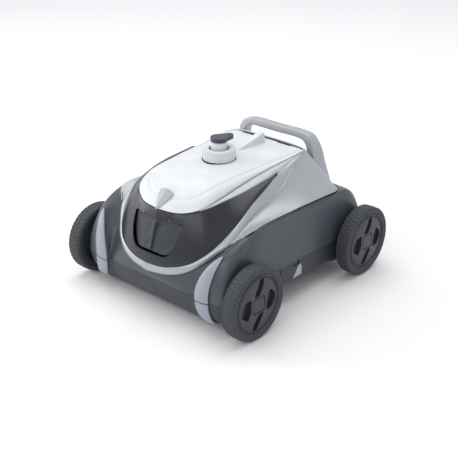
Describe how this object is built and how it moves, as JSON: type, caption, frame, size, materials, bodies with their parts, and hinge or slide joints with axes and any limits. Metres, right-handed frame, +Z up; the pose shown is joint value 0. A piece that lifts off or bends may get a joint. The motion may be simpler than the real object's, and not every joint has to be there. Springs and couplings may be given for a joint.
{
  "type": "robotic pool cleaner",
  "caption": "Cordless wheeled pool-cleaning robot with a hinged lid, turning dial, carry handle, front outlet flap and a bottom suction mouth.",
  "frame": {"origin": "on the floor, at the centre of the bounding box's base, midway between the wheels", "axes": "+Z up; the front with the outlet flap faces -Y; the wheels turn about X"},
  "size_m": [0.37, 0.406, 0.25],
  "materials": {
    "hull_plastic": "satin",
    "side_plastic": "matte",
    "silver_plastic": "satin",
    "gloss_black": "gloss",
    "white_plastic": "semi-gloss",
    "pointer_plastic": "satin",
    "latch_grey": "satin",
    "trim_grey": "satin",
    "tyre_rubber": "matte",
    "hub_plastic": "satin",
    "steel": "brushed",
    "gear_plastic": "natural",
    "motor_metal": "anodised",
    "rubber": "matte",
    "inner_plastic": "moulded",
    "mesh": "woven mesh",
    "cell_wrap": "film wrap",
    "circuit_board": "solder mask"
  },
  "bodies": {
    "hull": {"lower_tray": "hull_plastic", "suction_plate": "side_plastic", "bottom_screws": "steel", "upper_chassis": "hull_plastic", "upper_shell": "silver_plastic", "front_panel": "gloss_black", "carry_handle": "silver_plastic", "fender_trim_upper_left": "trim_grey", "fender_trim_lower_left": "trim_grey", "fender_trim_upper_right": "trim_grey", "fender_trim_lower_right": "trim_grey", "latch_pins": "steel", "flap_pin": "steel", "lid_hinge_pin": "steel", "drive_motor_left": "motor_metal", "drive_motor_right": "motor_metal", "axle_bearings": "steel", "basket_frame": "inner_plastic", "basket_mesh": "mesh", "basket_seal": "rubber", "pump_duct": "inner_plastic", "pump_motor": "motor_metal", "pump_seal": "rubber", "battery_case": "inner_plastic", "battery_cells": "cell_wrap", "electronics_case": "inner_plastic", "electronics_cover": "inner_plastic", "control_board": "circuit_board"},
    "lid": {"lid": "white_plastic"},
    "lid_latch": {"lid_latch": "latch_grey"},
    "collar": {"dial_collar": "white_plastic"},
    "dial": {"dial_stem": "white_plastic", "dial_pointer": "pointer_plastic"},
    "outlet_flap": {"outlet_flap": "gloss_black"},
    "side_latch_left": {"side_latch_left": "side_plastic"},
    "side_latch_right": {"side_latch_right": "side_plastic"},
    "inlet_flap_front": {"inlet_flap_front": "rubber"},
    "inlet_flap_rear": {"inlet_flap_rear": "rubber"},
    "impeller": {"pump_impeller": "inner_plastic"},
    "pinion_left": {"drive_pinion_left": "gear_plastic"},
    "pinion_right": {"drive_pinion_right": "gear_plastic"},
    "wheel_front_left": {"tyre_front_left": "tyre_rubber", "hub_front_left": "hub_plastic", "hub_cap_front_left": "hub_plastic", "axle_front_left": "steel"},
    "wheel_front_right": {"tyre_front_right": "tyre_rubber", "hub_front_right": "hub_plastic", "hub_cap_front_right": "hub_plastic", "axle_front_right": "steel"},
    "wheel_rear_left": {"tyre_rear_left": "tyre_rubber", "hub_rear_left": "hub_plastic", "hub_cap_rear_left": "hub_plastic", "axle_rear_left": "steel", "drive_gear_left": "gear_plastic"},
    "wheel_rear_right": {"tyre_rear_right": "tyre_rubber", "hub_rear_right": "hub_plastic", "hub_cap_rear_right": "hub_plastic", "axle_rear_right": "steel", "drive_gear_right": "gear_plastic"}
  },
  "joints": [
    {"name": "lid_hinge", "type": "hinge", "parent": "hull", "child": "lid", "pos_m": [0, 0.099, 0.2055], "axis": [-1, 0, 0], "range_deg": [0, 65]},
    {"name": "lid_latch_tip", "type": "hinge", "parent": "lid", "child": "lid_latch", "pos_m": [0, -0.137, 0.2005], "axis": [-1, 0, 0], "range_deg": [0, 25], "stiffness_Nm_per_rad": 0.02, "springref_deg": -17.19},
    {"name": "collar_turn", "type": "hinge", "parent": "lid", "child": "collar", "pos_m": [0, -0.027, 0.22], "axis": [0, 0, 1], "range_deg": [0, 60]},
    {"name": "dial_turn", "type": "hinge", "parent": "lid", "child": "dial", "pos_m": [0, -0.027, 0.22], "axis": [0, 0, 1], "range_deg": [-120, 120]},
    {"name": "outlet_flap_swing", "type": "hinge", "parent": "hull", "child": "outlet_flap", "pos_m": [0, -0.166, 0.1574], "axis": [-1, 0, 0], "range_deg": [0, 40]},
    {"name": "side_latch_left_turn", "type": "hinge", "parent": "hull", "child": "side_latch_left", "pos_m": [-0.148, -0.01, 0.042], "axis": [0, -1, 0], "range_deg": [0, 70]},
    {"name": "side_latch_right_turn", "type": "hinge", "parent": "hull", "child": "side_latch_right", "pos_m": [0.148, -0.01, 0.042], "axis": [0, 1, 0], "range_deg": [0, 70]},
    {"name": "inlet_flap_front_swing", "type": "hinge", "parent": "hull", "child": "inlet_flap_front", "pos_m": [0, -0.0178, 0.02], "axis": [1, 0, 0], "range_deg": [0, 70]},
    {"name": "inlet_flap_rear_swing", "type": "hinge", "parent": "hull", "child": "inlet_flap_rear", "pos_m": [0, 0.0178, 0.02], "axis": [-1, 0, 0], "range_deg": [0, 70]},
    {"name": "impeller_spin", "type": "hinge", "parent": "hull", "child": "impeller", "pos_m": [0, -0.1, 0.128], "axis": [0, 1, 0], "continuous": true},
    {"name": "wheel_front_left_spin", "type": "hinge", "parent": "hull", "child": "wheel_front_left", "pos_m": [-0.172, -0.143, 0.06], "axis": [1, 0, 0], "continuous": true},
    {"name": "wheel_front_right_spin", "type": "hinge", "parent": "hull", "child": "wheel_front_right", "pos_m": [0.172, -0.143, 0.06], "axis": [1, 0, 0], "continuous": true},
    {"name": "wheel_rear_left_spin", "type": "hinge", "parent": "hull", "child": "wheel_rear_left", "pos_m": [-0.172, 0.143, 0.06], "axis": [1, 0, 0], "continuous": true},
    {"name": "wheel_rear_right_spin", "type": "hinge", "parent": "hull", "child": "wheel_rear_right", "pos_m": [0.172, 0.143, 0.06], "axis": [1, 0, 0], "continuous": true},
    {"name": "pinion_left_spin", "type": "hinge", "parent": "hull", "child": "pinion_left", "pos_m": [-0.136, 0.1205, 0.06], "axis": [1, 0, 0], "continuous": true},
    {"name": "pinion_right_spin", "type": "hinge", "parent": "hull", "child": "pinion_right", "pos_m": [0.136, 0.1205, 0.06], "axis": [1, 0, 0], "continuous": true}
  ],
  "couplings": [
    {"joint": "pinion_left_spin", "follows": "wheel_rear_left_spin", "ratio": -2},
    {"joint": "pinion_right_spin", "follows": "wheel_rear_right_spin", "ratio": -2}
  ]
}
